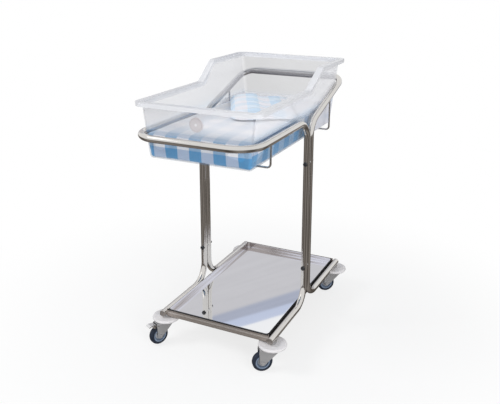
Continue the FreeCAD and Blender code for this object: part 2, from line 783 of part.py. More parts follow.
def brake_pedal(label, x, y, turn):
    """Foot lever on its pin with a shoe that comes down on the tyre."""
    body = new_body(label)
    barrel, tip = size.brake_pin_dia / 2 + size.barrel_wall, size.pedal_length
    section = new_sketch(body, "XZ_Plane")
    polygon(section, [(barrel * 0, barrel), (tip * 0.77, barrel * 1.9), (tip, barrel * 0.95),
                      (tip * 0.96, barrel * 0.35), (tip * 0.74, barrel * 1.15), (tip * 0.44, barrel * 0.75),
                      (tip * 0.385, barrel * -2.33), (tip * 0.23, barrel * -1.88), (tip * 0.2, barrel * -0.5),
                      (barrel * 0, -barrel)])
    pad(body, section, size.pedal_width, both_ways=True)
    boss = new_sketch(body, "XZ_Plane")
    circle(boss, barrel)
    pad(body, boss, size.pedal_width, both_ways=True)
    bore = new_sketch(body, "XZ_Plane")
    circle(bore, size.brake_pin_dia / 2 + size.running)
    pocket(body, bore, size.pedal_width * 2, both_ways=True)
    return place(body, label, *brake_place(x, y, turn), brake_pin_z, turn)


def caster(corner, side, y, turn, braked):
    x = side * half
    made = [bumper_disc(corner + "_bumper_disc", x, y), swivel_bearing(corner + "_swivel_bearing", x, y, turn),
            caster_fork(corner + "_fork", x, y, turn, braked), tyre(corner + "_tyre", x, y, turn),
            wheel_hub(corner + "_wheel_hub", x, y, turn), axle_bolt(corner + "_axle_bolt", x, y, turn),
            axle_nut(corner + "_axle_nut", x, y, turn)]
    if braked:
        made += [brake_pin(corner + "_brake_pin", x, y, turn), brake_pedal(corner + "_brake_pedal", x, y, turn)]
    return made


# ---- tub and bedding --------------------------------------------------------------------------

def tub_reach(z, grow):
    """Distances to the side, foot and head walls of the drafted tub, moved outwards."""
    up = float(z - tub_bottom)
    return [float(low + grow) + up * float(turned("tan", draft)) for low, draft in
            ((tub_half, size.side_draft), (tub_foot, size.foot_draft), (tub_head, size.head_draft))]


def tub_wedge(low, high, grow):
    """Drafted box between two heights."""
    side, foot, head = tub_reach(low, grow)
    side_high, foot_high, head_high = tub_reach(high, grow)
    wedge = Part.makeWedge(-side, float(low), -head, -head_high, -side_high,
                           side, float(high), foot, foot_high, side_high)
    wedge.rotate(Vector(0, 0, 0), Vector(1, 0, 0), 90)
    return wedge


def tub_block(low, high, grow, bottom_edge=0):
    """Drafted box with round upright corners and a round bottom edge."""
    block = tub_wedge(low, high, grow)
    upright_edges = [e for e in block.Edges if e.BoundBox.ZLength > float(high - low) / 2]
    block = block.makeFillet(float(size.tub_corner + grow), upright_edges)
    if float(bottom_edge):
        edges = [e for e in block.Edges if e.BoundBox.ZMax < float(low) + 0.01]
        block = block.makeFillet(float(bottom_edge), edges)
    return block


def under_rim(drop):
    """Everything below the stepped rim line, which is set back by drop square to itself."""
    low, high, run = float(rim_low) - drop, float(rim_high) - drop, float(size.rim_run)
    dip = float(size.rim_step) - run / 2 + drop * math.tan(math.atan2(high - low, run) / 2)
    crest = dip + run
    far = float(size.frame_width) * 1.5
    outline = [(-far, 0), (-far, low), (dip, low), (crest, high), (far, high), (far, 0), (-far, 0)]
    face = Part.Face(Part.makePolygon([Vector(-far, y, z) for y, z in outline]))
    solid = face.extrude(Vector(far * 2, 0, 0))
    for y, radius in (dip, float(size.rim_bend) + drop), (crest, float(size.rim_bend) - drop):
        bend = [e for e in solid.Edges if e.BoundBox.XLength > far and abs(e.CenterOfMass.y - y) < 0.01]
        solid = solid.makeFillet(radius, bend)
    return solid


def port_cylinder(diameter, inner, outer):
    """Cylinder square to the foot wall, between two distances outwards from its outer face."""
    y = -tub_foot - (port_height - tub_bottom) * turned("tan", size.foot_draft)
    draft = math.radians(float(size.foot_draft))
    centre, way = point(0, y, port_height), Vector(0, -math.cos(draft), -math.sin(draft))
    return cylinder(diameter / 2, centre + way * float(inner), centre + way * float(outer))


def tub_shell():
    """Drafted tub with a stepped, turned-down rim."""
    wall, top = size.tub_wall, rim_high + size.rim_lip
    outside = tub_block(tub_bottom, top, wall * 0, size.tub_bottom_edge)
    inside = tub_block(tub_bottom + wall, top, -wall, size.tub_bottom_edge - wall)
    brim_low = rim_low - size.rim_lip * 2
    brim = tub_block(brim_low, top, size.flange)
    brim_inner = tub_block(brim_low - 1, top, size.flange - wall)
    rim = under_rim(0)
    walls = outside.cut(inside).common(rim)
    plate = brim.cut(inside).common(rim.cut(under_rim(float(wall))))
    lip = brim.cut(brim_inner).common(rim.cut(under_rim(float(size.rim_lip))))
    hole = port_cylinder(size.port_dia, -wall * 3, wall * 3)
    return shape_part("tub_shell", walls.fuse([plate, lip]).cut(hole).removeSplitter())


def tub_port_cover():
    """Round cover with a spigot through the foot wall."""
    cover = port_cylinder(size.port_cover_dia, size.tub_wall * 0, size.port_cover)
    rim = [e for e in cover.Edges if len(e.Vertexes) == 1]
    rim = min(rim, key=lambda edge: edge.CenterOfMass.y)
    cover = cover.makeChamfer(float(size.cover_edge), [rim])
    spigot = port_cylinder(size.port_dia, -size.tub_wall, size.tub_wall * 0)
    boss = port_cylinder(size.cover_boss_dia, size.port_cover, size.port_cover + size.cover_boss)
    return shape_part("tub_port_cover", cover.fuse([spigot, boss]))


def mattress():
    block = tub_block(mattress_low, mattress_top, -size.tub_wall - size.bed_side)
    edges = [e for e in block.Edges if e.BoundBox.ZLength < 0.01]
    return shape_part("mattress", block.makeChamfer(float(size.bed_edge), edges))


def pillow():
    body = new_body("pillow")
    outline = new_sketch(body, "XY_Plane")
    width = tub_half * 2 - size.pillow_room
    rounded_rectangle(outline, -width / 2, width / 2, -size.pillow_depth / 2, size.pillow_depth / 2,
                      size.pillow_corner)
    pad(body, outline, size.pillow_thick)
    chamfer(body, size.pillow_edge, lambda edge: edge.BoundBox.ZLength < 0.01)
    return place(body, "pillow", size.pillow_x, size.pillow_y, mattress_top + size.bed_gap, size.pillow_turn)


# ---- build, check and write -------------------------------------------------------------------

parts = [
    frame_tube("front_frame_tube", front_path(), front_bends),
    frame_tube("rear_frame_tube", rear_path(), rear_bends),
    head_cross_rod(),
    wire_support("front_wire_support", -size.front_wire, size.ring_height, front_solid),
    wire_support("rear_wire_support", size.rear_wire, loop_line(size.rear_wire), rear_solid),
    post_bolts(), post_spacers(), bolt_caps(), post_nuts(),
    tray_pan(), tray_edge_trim(),
    tray_bar("tray_front_bar", -pan_front, -1),
    tray_bar("tray_rear_bar", pan_rear, 1),
    rail_end_plugs(), caster_sockets(), caster_stems(),
    tub_shell(), tub_port_cover(), mattress(), pillow(),
]
parts += caster("front_left", -1, -front_caster, size.front_left_turn, True)
parts += caster("front_right", 1, -front_caster, size.front_right_turn, False)
parts += caster("rear_left", -1, rear_caster, size.rear_left_turn, False)
parts += caster("rear_right", 1, rear_caster, size.rear_right_turn, True)
doc.recompute()

for thing in doc.Objects:
    if {"Invalid", "Error"} & set(thing.State):
        raise RuntimeError("{} did not build: {}".format(thing.Label, thing.State))
os.makedirs("parts", exist_ok=True)
for part in parts:
    shape = part.Shape
    if shape.isNull() or not shape.isValid() or not shape.Solids:
        raise RuntimeError("{} has no valid solid".format(part.Label))
    shape.exportStep("parts/{}.step".format(part.Label))
    box = shape.BoundBox
    print("{:28s} {:2d} solid(s) {:12.0f} mm3  x {:8.1f} {:8.1f}  y {:8.1f} {:8.1f}  z {:7.1f} {:7.1f}".format(
        part.Label, len(shape.Solids), shape.Volume, box.XMin, box.XMax, box.YMin, box.YMax, box.ZMin, box.ZMax))
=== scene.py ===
import json
import math

import bpy
import numpy as np
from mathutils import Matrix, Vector, noise


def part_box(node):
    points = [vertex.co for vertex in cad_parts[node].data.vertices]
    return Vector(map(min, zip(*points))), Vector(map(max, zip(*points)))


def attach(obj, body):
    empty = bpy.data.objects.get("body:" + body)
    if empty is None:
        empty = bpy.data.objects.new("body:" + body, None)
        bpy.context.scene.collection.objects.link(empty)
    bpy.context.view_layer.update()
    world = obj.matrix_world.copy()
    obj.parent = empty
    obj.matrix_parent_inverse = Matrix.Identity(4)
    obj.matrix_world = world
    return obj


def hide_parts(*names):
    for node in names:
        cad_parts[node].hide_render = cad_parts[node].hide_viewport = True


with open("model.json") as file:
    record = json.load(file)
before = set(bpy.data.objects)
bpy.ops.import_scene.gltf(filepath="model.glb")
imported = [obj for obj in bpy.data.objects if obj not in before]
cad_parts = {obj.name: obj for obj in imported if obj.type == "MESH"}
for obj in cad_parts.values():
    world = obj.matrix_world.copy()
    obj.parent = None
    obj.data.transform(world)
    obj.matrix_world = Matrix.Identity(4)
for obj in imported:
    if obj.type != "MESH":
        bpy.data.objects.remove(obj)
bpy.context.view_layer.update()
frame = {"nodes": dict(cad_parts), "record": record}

scene = bpy.context.scene
nodes = frame["nodes"]

# ---- measures: metres, and radians where an angle is meant ------------------------------------

PHOTO_WIDTH = 500                             # pixels
CAMERA_PLACE = (1.0572, -2.1924, 1.4171)
CAMERA_AZIMUTH = math.radians(25.7)
CAMERA_DOWN = math.radians(15.8)
CAMERA_LENS, SENSOR_WIDTH = 47.4, 36.0        # mm
CAMERA_SHIFT = -52 / PHOTO_WIDTH              # puts the wheels inside the photograph's frame

FOOT_RIM, HEAD_RIM = 0.974, 1.045             # heights of the tub's rim, either side of its step
STEP_START, STEP_END = 0.022, 0.138           # the step along Y
RIM_START, RIM_FULL = -0.0185, -0.0145        # where the rim's turned edge begins, from its top
HAZE_START, HAZE_FULL = 0.866, 0.886          # heights between which the clear wall turns hazy
HEAD_START, HEAD_FULL = 0.30, 0.36            # the head wall along Y, which takes painted shade
PORT_HEIGHT = 0.914                           # middle of the round cover in the foot wall
PLASTIC_IOR = 1.49

CHECK = 0.046                                 # one check of the gingham
THREAD = 0.0016                               # pitch of its weave
CLOTH_SHADE = (0.10, 0.17, 0.25, 1)           # colour of the painted shadow along its lower edge
VOXEL = 0.006                                 # remesh size of the bedding
OVERHANG = 0.018
PROUD = 0.0012                                # how far the mattress cover may stand out sideways
PILLOW_TURN = math.radians(27.7)              # the pillow lies askew
PILLOW_HALF = np.array((0.121, 0.174))        # half its width and length
EDGE_THICK, EDGE_GAP = 0.013, 0.0002          # the pillow's edge: thickness, and gap below it

WHITE = (1, 1, 1, 1)
STEEL = (0.68, 0.66, 0.635)
STEEL_ROUGH = (0.07, 0.13)
ALONG_POST = (1, 1, 0.1)                      # stretches a pattern along the upright tubes
FINE = 0.0003                                 # depth of a fine grain

ROOM_TINT, ROOM_LIGHT = (0.95, 0.97, 1, 1), 0.58
FLOOR_WHITE = (0.80, 0.80, 0.80, 1)
FLOOR_FADE = 0.45, 1.45                       # from here to there the floor turns into background
FLAG_RADIUS, FLAG_FADE = 11.0, (5.0, 10.5)    # dark cloth on the floor, seen in the metal alone
CARD_Y = 1.6                                  # the rear card's place
BAND_SLOPE, BAND_LOW = 0.5444, 0.7367         # its bands' lower edge: z = BAND_LOW - BAND_SLOPE x


# ---- camera -----------------------------------------------------------------------------------

def photo_camera():
    """Camera at the photograph's viewing angle."""
    data = bpy.data.cameras.new("photo_camera")
    data.lens, data.sensor_width, data.shift_y = CAMERA_LENS, SENSOR_WIDTH, CAMERA_SHIFT
    camera = bpy.data.objects.new("photo_camera", data)
    scene.collection.objects.link(camera)
    camera.location = CAMERA_PLACE
    level = math.cos(CAMERA_DOWN)
    look = Vector((-math.sin(CAMERA_AZIMUTH) * level, math.cos(CAMERA_AZIMUTH) * level,
                   -math.sin(CAMERA_DOWN)))
    camera.rotation_mode = "QUATERNION"
    camera.rotation_quaternion = look.to_track_quat("-Z", "Y")
    scene.camera = camera


# ---- node material helpers --------------------------------------------------------------------

class Nodes:
    """Short way to write a material's nodes."""

    def __init__(self, name):
        self.material = bpy.data.materials.new(name)
        self.material.use_nodes = True
        self.tree = self.material.node_tree
        self.shader = self.tree.nodes["Principled BSDF"]

    def add(self, kind, **inputs):
        """A new node. Each keyword names one of its inputs or, failing that, a property."""
        node = self.tree.nodes.new("ShaderNode" + kind)
        for key, value in inputs.items():
            key = key.replace("_", " ")
            if key in node.inputs:
                self.put(node.inputs[key], value)
            else:
                setattr(node, key.replace(" ", "_"), value)
        return node

    def put(self, socket, value):
        """Links another node's output to the socket, or writes a plain value into it."""
        if isinstance(value, bpy.types.NodeSocket):
            self.tree.links.new(value, socket)
        else:
            socket.default_value = value

    def fill(self, sockets, *values):
        for socket, value in zip(sockets, values):
            self.put(socket, value)

    def set(self, **inputs):
        """Sets or links the shader's own inputs."""
        for key, value in inputs.items():
            self.put(self.shader.inputs[key.replace("_", " ")], value)

    def show(self, shader):
        """Makes this shader the surface, in place of the Principled one."""
        self.put(self.tree.nodes["Material Output"].inputs["Surface"], shader)

    def math(self, operation, a, b=0.0, c=0.0):
        node = self.add("Math", operation=operation)
        self.fill(node.inputs, a, b, c)
        return node.outputs[0]

    def times(self, a, b):
        return self.math("MULTIPLY", a, b)

    def without(self, value):
        """1 less the value."""
        return self.math("SUBTRACT", 1.0, value)

    def ramp(self, value, low, high):
        """Maps 0 to 1 onto low to high."""
        return self.math("MULTIPLY_ADD", value, high - low, low)

    def step(self, value, start, end, low=0.0, high=1.0):
        """Smooth change from low to high while value goes from start to end."""
        node = self.add("MapRange", interpolation_type="SMOOTHSTEP")
        self.fill(node.inputs, value, start, end, low, high)
        return node.outputs[0]

    def band(self, value, start, full, fall, end):
        """Rises from start to full, and falls again from fall to end."""
        return self.times(self.step(value, start, full), self.step(value, end, fall))

    def mix(self, factor, a, b):
        """Colour between a, at 0, and b, at 1."""
        node = self.add("Mix", data_type="RGBA")
        self.fill((node.inputs[0], node.inputs[6], node.inputs[7]), factor, a, b)
        return node.outputs[2]

    def mix_shaders(self, factor, a, b):
        node = self.add("MixShader")
        self.fill(node.inputs, factor, a, b)
        return node.outputs[0]

    def emission(self, color, strength=1.0):
        return self.add("Emission", Color=color, Strength=strength).outputs[0]

    def vector(self, operation, a, b):
        node = self.add("VectorMath", operation=operation)
        self.fill(node.inputs, a, b)
        return node.outputs["Value" if operation == "DOT_PRODUCT" else "Vector"]

    def length(self, vector):
        return self.add("VectorMath", operation="LENGTH", Vector=vector).outputs["Value"]

    def separate(self, vector):
        """The three parts of a vector."""
        node = self.add("SeparateXYZ", Vector=vector)
        return node.outputs["X"], node.outputs["Y"], node.outputs["Z"]

    def place(self):
        """Place in the shared frame, at rest: every node's object sits at the origin."""
        return self.add("TexCoord").outputs["Object"]

    def position(self):
        return self.separate(self.place())

    def facing(self):
        """The three parts of the surface's normal."""
        return self.separate(self.add("NewGeometry").outputs["Normal"])

    def noise(self, scale, detail=3.0, vector=None):
        node = self.add("TexNoise", Scale=scale, Detail=detail, Vector=vector or self.place())
        return node.outputs["Fac"]

    def streaks(self, scale, detail, stretch):
        """Noise drawn out along the axes whose stretch is small."""
        mapping = self.add("Mapping", Vector=self.place(), Scale=stretch)
        return self.noise(scale, detail, mapping.outputs["Vector"])

    def bump(self, height, strength, distance=FINE):
        node = self.add("Bump", Height=height, Strength=strength, Distance=distance)
        return node.outputs["Normal"]


def dress(material, *names):
    """Gives the CAD nodes whose names end in one of names this material."""
    for name, item in nodes.items():
        if name.endswith(names):
            for slot in item.material_slots:
                slot.material = material


def opaque(color):
    return (*color, 1)


def darker(color, share):
    return opaque(c * (1 - share) for c in color)


# ---- materials --------------------------------------------------------------------------------

def steel(name, color, rough, grain=(1, 1, 1), tint=0.06, metal=1.0, painted_light=None):
    """Steel with fine grain and faint clouds; the last colour, if given, is painted light across
    the head end.
    """
    n = Nodes(name)
    fine = n.streaks(180.0, 4.0, grain)
    cloud = n.noise(9.0, 2.0)
    shade = n.mix(cloud, darker(color, tint), opaque(color))
    if painted_light:
        # Painted light: a paler colour across the head end and, high up, along the loop's far
        # left side.
        x, y, z = n.position()
        behind = n.times(n.step(y, 0.37, 0.41), n.step(x, 0.20, 0.165))
        painted_light_far_side = n.times(n.step(x, 0.0, -0.1), 0.75)
        share = n.times(n.math("MAXIMUM", behind, painted_light_far_side), n.step(z, 0.88, 0.91))
        shade = n.mix(share, shade, opaque(painted_light))
    relief = 0.05 if rough[0] > 0.3 else 0.01
    n.set(Metallic=metal, Base_Color=shade, Roughness=n.ramp(fine, *rough),
          Normal=n.bump(fine, relief))
    return n.material


def bar_steel():
    """Brushed channel with a painted highlight along the middle and painted shade at both edges.
    """
    n = Nodes("brushed_bar")
    low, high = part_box("tray_front_bar")
    brush = n.streaks(420.0, 3.0, (0.02, 1, 1))
    z = n.position()[2]
    part = n.math("DIVIDE", n.math("SUBTRACT", z, low.z), high.z - low.z)
    # Painted highlight: a paler line along the middle; painted shade: darker at both edges.
    line = n.band(part, 0.44, 0.52, 0.60, 0.68)
    edges = n.math("MAXIMUM", n.step(part, 0.16, 0.06), n.step(part, 0.74, 0.86))
    color = n.mix(brush, (0.36, 0.315, 0.285, 1), (0.50, 0.45, 0.415, 1))
    color = n.mix(n.times(line, 0.8), color, (0.70, 0.66, 0.63, 1))
    color = n.mix(n.times(edges, 0.35), color, (0.22, 0.19, 0.17, 1))
    n.set(Metallic=0.7, Base_Color=color, Roughness=n.ramp(brush, 0.34, 0.50),
          Normal=n.bump(brush, 0.05))
    return n.material


def pan_steel():
    """Mirror floor; the pan's walls carry painted reflections as dark brown and lilac streaks
    along their length.
    """
    n = Nodes("mirror_pan")
    upright = n.step(n.math("ABSOLUTE", n.facing()[2]), 0.8, 0.5)
    streak = n.step(n.streaks(110.0, 2.0, (0.02, 0.02, 1)), 0.36, 0.64)
    cloud = n.noise(9.0, 2.0)
    floor = n.mix(cloud, (0.82, 0.83, 0.85, 1), (0.86, 0.87, 0.89, 1))
    # Painted reflection: dark brown and lilac streaks on the pan's walls.
    wall = n.mix(streak, (0.40, 0.36, 0.35, 1), (0.74, 0.74, 0.82, 1))
    n.set(Metallic=1.0, Base_Color=n.mix(upright, floor, wall),
          Roughness=n.math("MULTIPLY_ADD", upright, 0.18, n.ramp(cloud, 0.012, 0.05)))
    return n.material


def plastic(name, color, rough, relief=0.05):
    """Moulded plastic or rubber with a fine grain and faint clouds."""
    n = Nodes(name)
    grain = n.noise(350.0)
    cloud = n.noise(14.0)
    n.set(Base_Color=n.mix(cloud, darker(color, 0.06), opaque(color)),
          Roughness=n.ramp(grain, rough - 0.05, rough + 0.07), Normal=n.bump(grain, relief))
    return n.material


def hub_plastic(name, centre, axis):
    """Wheel centre with paler and darker rings around its axle."""
    n = Nodes(name + "_plastic")
    arm = n.vector("SUBTRACT", n.place(), tuple(centre))
    along = n.vector("DOT_PRODUCT", arm, axis)
    square = n.math("SUBTRACT", n.vector("DOT_PRODUCT", arm, arm), n.math("POWER", along, 2.0))
    radius = n.math("SQRT", square)
    color = n.mix(n.step(radius, 0.0165, 0.0150), (0.13, 0.16, 0.21, 1), (0.38, 0.385, 0.40, 1))
    ring = n.band(radius, 0.0215, 0.0222, 0.0243, 0.0250)
    color = n.mix(ring, color, (0.20, 0.26, 0.36, 1))
    grain = n.noise(300.0)
    n.set(Base_Color=color, Roughness=n.ramp(grain, 0.38, 0.5), Normal=n.bump(grain, 0.05))
    return n.material


def tub_plastic():
    """Moulded plastic: clear low down, hazy above the bedding, milky along the stepped rim, with
    painted light, reflection and shade.
    """
    n = Nodes("clear_tub")
    x, y, z = n.position()
    geometry = n.add("NewGeometry")
    normal_x, normal_y, _ = n.separate(geometry.outputs["Normal"])
    side = n.math("ABSOLUTE", normal_x)
    front_face = n.math("MULTIPLY_ADD", geometry.outputs["Backfacing"], -2.0, 1.0)
    outward = n.times(normal_y, front_face)          # the same from both sides of the wall

    # Each part of the shell, as a share from 0 to 1.
    rim_line = n.step(y, STEP_START, STEP_END, FOOT_RIM, HEAD_RIM)
    rim = n.step(n.math("SUBTRACT", z, rim_line), RIM_START, RIM_FULL)
    haze = n.step(z, HAZE_START, HAZE_FULL)
    painted_shade_head_wall = n.times(n.step(y, HEAD_START, HEAD_FULL), n.step(outward, -0.35, -0.85))
    milky = n.times(n.step(y, 0.10, 0.20), n.without(haze))
    # Painted shade: a thin dark blue line on the side walls just above the mattress, for the gap
    # beside it.
    painted_gap_shade = n.times(n.band(z, 0.862, 0.866, 0.869, 0.873),
                    n.times(n.step(side, 0.6, 0.9), n.step(y, 0.0, -0.1)))
    across = n.math("MAXIMUM", side, n.math("ABSOLUTE", outward))
    # Painted shade: the corners take a darker grey, and are rougher.
    corner = n.times(n.step(across, 0.98, 0.80), n.without(rim))

    # What comes through the wall: less where a ray crosses it at a slant.
    cloud = n.ramp(n.noise(7.0), 0.015, -0.015)
    through = n.math("ADD", n.math("MULTIPLY_ADD", haze, -0.08, 0.92), cloud)
    for part, change in ((painted_shade_head_wall, -0.07), (milky, -0.22), (painted_gap_shade, -0.16)):
        through = n.math("MULTIPLY_ADD", part, change, through)
    slant = n.without(n.add("LayerWeight", Blend=0.5).outputs["Facing"])
    depth = n.math("DIVIDE", 1.0, n.math("MAXIMUM", slant, n.ramp(haze, 0.15, 0.38)))
    wall = n.without(n.math("POWER", through, depth))

    # Colour, from the wall above the bedding down and out to the rim, with painted light,
    # reflection and shade among it.
    # Painted light: the walls are paler on the right-hand side than on the left.
    color = n.mix(n.step(x, -0.16, 0.1), (0.65, 0.65, 0.68, 1), (0.92, 0.92, 0.95, 1))
    # Painted reflection of the bedding: a blue tint low in the hazy wall.
    color = n.mix(n.step(z, 0.872, 0.905), (0.62, 0.73, 0.86, 1), color)
    # Painted shade: the head wall is made dark and less clear.
    color = n.mix(painted_shade_head_wall, color, (0.03, 0.03, 0.05, 1))
    color = n.mix(n.times(corner, 0.8), color, (0.38, 0.38, 0.41, 1))
    color = n.mix(haze, (0.22, 0.31, 0.42, 1), color)
    for part, shade in ((milky, (0.80, 0.80, 0.85, 1)), (painted_gap_shade, (0.12, 0.24, 0.42, 1)),
                        (rim, (0.79, 0.795, 0.82, 1))):
        color = n.mix(part, color, shade)

    grain = n.noise(90.0)
    n.set(Base_Color=color, Alpha=n.math("MAXIMUM", wall, n.times(rim, 0.72)), IOR=PLASTIC_IOR,
          Roughness=n.math("MULTIPLY_ADD", corner, 0.4, n.ramp(grain, 0.08, 0.16)),
          Normal=n.bump(grain, 0.03, 0.0004))
    return n.material


def cover_plastic():
    """Translucent plastic of the round port cover, paler at its boss."""
    n = Nodes("port_plastic")
    x, _, z = n.position()
    above = n.math("SUBTRACT", z, PORT_HEIGHT)
    square = n.math("ADD", n.math("POWER", x, 2.0), n.math("POWER", above, 2.0))
    radius = n.math("SQRT", square)
    boss = n.step(radius, 0.0052, 0.0042)
    ring = n.band(radius, 0.0195, 0.0205, 0.0215, 0.0225)
    color = n.mix(boss, (0.66, 0.62, 0.63, 1), (0.76, 0.75, 0.76, 1))
    color = n.mix(n.times(ring, 0.5), color, (0.48, 0.44, 0.45, 1))
    grain = n.noise(200.0)
    n.set(Base_Color=color, Alpha=n.math("MULTIPLY_ADD", boss, 0.1, 0.65),
          Roughness=n.ramp(grain, 0.5, 0.6), Normal=n.bump(grain, 0.04))
    return n.material


def gingham(name, colors, phases, fade=0.0, painted_top_light=None, painted_shadow_height=None):
    """Woven check: pale rows and deeper columns, deepest where they cross, over a plain weave.

    colors are those of the ground, the rows, the columns and the crossings. What faces up, away
    from the foot end, is paled by painted light, and below a given height the cloth takes painted
    shadow.
    """
    n = Nodes(name)
    ground, rows, columns, full = (opaque(color) for color in colors)
    u, v, _ = n.separate(n.add("UVMap", uv_map="cloth").outputs[0])

    def stripe(coordinate, phase):
        """1 in every second check's width, starting at the phase."""
        turn = n.math("MULTIPLY_ADD", coordinate, 0.5 / CHECK, 0.5 - phase * 0.5 / CHECK)
        middle = n.math("ABSOLUTE", n.math("SUBTRACT", n.math("FRACT", turn), 0.5))
        return n.step(middle, 0.262, 0.238)

    def thread(coordinate):
        return n.math("SINE", n.times(coordinate, 2 * math.pi / THREAD))

    across, along = stripe(u, phases[0]), stripe(v, phases[1])
    fray = n.ramp(n.noise(420.0), -0.06, 0.06)
    color = n.mix(n.math("ADD", along, fray), ground, rows)
    color = n.mix(n.math("ADD", across, fray), color, columns)
    color = n.mix(n.times(across, along), color, full)
    wear_and_painted_light = n.math("MULTIPLY_ADD", n.noise(16.0), 0.10, fade)
    # Painted light: surfaces that face up turn paler away from the foot end.
    if painted_top_light:
        above = n.step(n.facing()[2], 0.5, 0.95)
        wear_and_painted_light = n.math("MULTIPLY_ADD", above, n.step(v, -0.37, -0.25, *painted_top_light), wear_and_painted_light)
    color = n.mix(wear_and_painted_light, color, ground)
    # Painted shadow: a dark band along the bottom of the cloth.
    if painted_shadow_height:
        shaded = n.step(n.position()[2], painted_shadow_height + 0.0015, painted_shadow_height)
        color = n.mix(shaded, color, CLOTH_SHADE)
    fuzz = n.noise(700.0, 4.0)
    height = n.math("ADD", n.times(n.times(thread(u), thread(v)), 0.6), fuzz)
    n.set(Base_Color=color, Roughness=n.ramp(fuzz, 0.78, 0.95), Sheen_Weight=0.25,
          Sheen_Roughness=0.5, Specular_IOR_Level=0.25, Normal=n.bump(height, 0.25, 0.0005))
    return n.material


def build_materials():
    dress(steel("polished_tube", STEEL, STEEL_ROUGH, ALONG_POST),
          "front_frame_tube", "wire_support")
    dress(steel("loop_tube", STEEL, STEEL_ROUGH, ALONG_POST, painted_light=(0.80, 0.81, 0.83)),
          "rear_frame_tube")
    dress(steel("rod_steel", (0.42, 0.41, 0.42), rough=(0.1, 0.18)), "head_cross_rod")
    dress(pan_steel(), "tray_pan")
    dress(bar_steel(), "front_bar", "rear_bar")
    dress(steel("bolt_steel", (0.60, 0.60, 0.60), rough=(0.2, 0.35)),
          "post_bolts", "post_spacers", "caster_sockets", "caster_stems", "brake_pin")
    dress(steel("plug_steel", (0.46, 0.43, 0.41), rough=(0.35, 0.5)), "end_plugs")
    dress(steel("zinc_fork", (0.56, 0.56, 0.57), rough=(0.42, 0.55), grain=(1, 1, 0.05),
                tint=0.3, metal=0.6),
          "_fork", "swivel_bearing", "axle_bolt", "axle_nut")
    dress(steel("chrome_pedal", (0.74, 0.74, 0.75), rough=(0.05, 0.12)), "brake_pedal")
    dress(plastic("black_rubber", (0.012, 0.012, 0.014), rough=0.5), "edge_trim")
    dress(plastic("black_cap", (0.02, 0.02, 0.022), rough=0.35), "bolt_caps", "post_nuts")
    dress(plastic("dark_tyre", (0.010, 0.017, 0.034), rough=0.68), "_tyre")
    dress(plastic("white_disc", (0.72, 0.70, 0.705), rough=0.45, relief=0.02), "bumper_disc")
    dress(tub_plastic(), "tub_shell")
    dress(cover_plastic(), "port_cover")
    for joint in frame["record"]["behaviour"]["joints"]:
        wheel, roll, _ = joint["name"].partition("_wheel_roll")
        if roll:
            hub = wheel + "_wheel_hub"
            low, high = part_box(hub)
            dress(hub_plastic(hub, (low + high) / 2, joint["axis"]), hub)


# ---- bedding ----------------------------------------------------------------------------------

def coordinates(mesh):
    flat = np.empty(len(mesh.vertices) * 3, np.float32)
    mesh.vertices.foreach_get("co", flat)
    return flat.reshape(-1, 3).astype(float)


def put_coordinates(mesh, points):
    mesh.vertices.foreach_set("co", np.asarray(points, np.float32).ravel())
    mesh.update()


def bake_modifiers(item):
    graph = bpy.context.evaluated_depsgraph_get()
    made = bpy.data.meshes.new_from_object(item.evaluated_get(graph))
    item.modifiers.clear()
    item.data = made


def soft_copy(node, name):
    """The CAD node's solid as a new object of even small faces."""
    item = bpy.data.objects.new(name, nodes[node].data.copy())
    scene.collection.objects.link(item)
    item.data.materials.clear()
    remesh = item.modifiers.new("remesh", "REMESH")
    remesh.mode, remesh.voxel_size = "VOXEL", VOXEL
    bake_modifiers(item)
    return item


def puff(item, pressure, cap, frames=20):
    """Swells the piece as stuffed cloth, each point moving by at most cap."""
    rest = coordinates(item.data)
    cloth = item.modifiers.new("cloth", "CLOTH")
    cloth.settings.use_pressure = True
    cloth.settings.uniform_pressure_force = pressure
    cloth.settings.quality = 4
    cloth.settings.effector_weights.gravity = 0
    cloth.point_cache.frame_start, cloth.point_cache.frame_end = 1, frames
    for number in range(1, frames + 1):
        scene.frame_set(number)
    swollen = item.evaluated_get(bpy.context.evaluated_depsgraph_get()).to_mesh()
    moved = coordinates(swollen) - rest
    length = np.maximum(np.linalg.norm(moved, axis=1, keepdims=True), 1e-9)
    item.modifiers.clear()
    scene.frame_set(1)
    put_coordinates(item.data, rest + moved * np.minimum(1, cap / length))


def subdivide(item):
    item.modifiers.new("smooth", "SUBSURF").levels = 1
    bake_modifiers(item)


def smooth_noise(points, scale, seed):
    shift = Vector((seed, 0, 0))
    return np.array([noise.noise(Vector(point) * scale + shift) for point in points])


def lay_cloth(item, project):
    """Cloth coordinates per face corner: project(point, normal) gives them in metres."""
    mesh = item.data
    layer = mesh.uv_layers.new(name="cloth")
    points = coordinates(mesh)
    for face in mesh.polygons:
        face.use_smooth = True
        for corner in face.loop_indices:
            layer.data[corner].uv = project(points[mesh.loops[corner].vertex_index], face.normal)


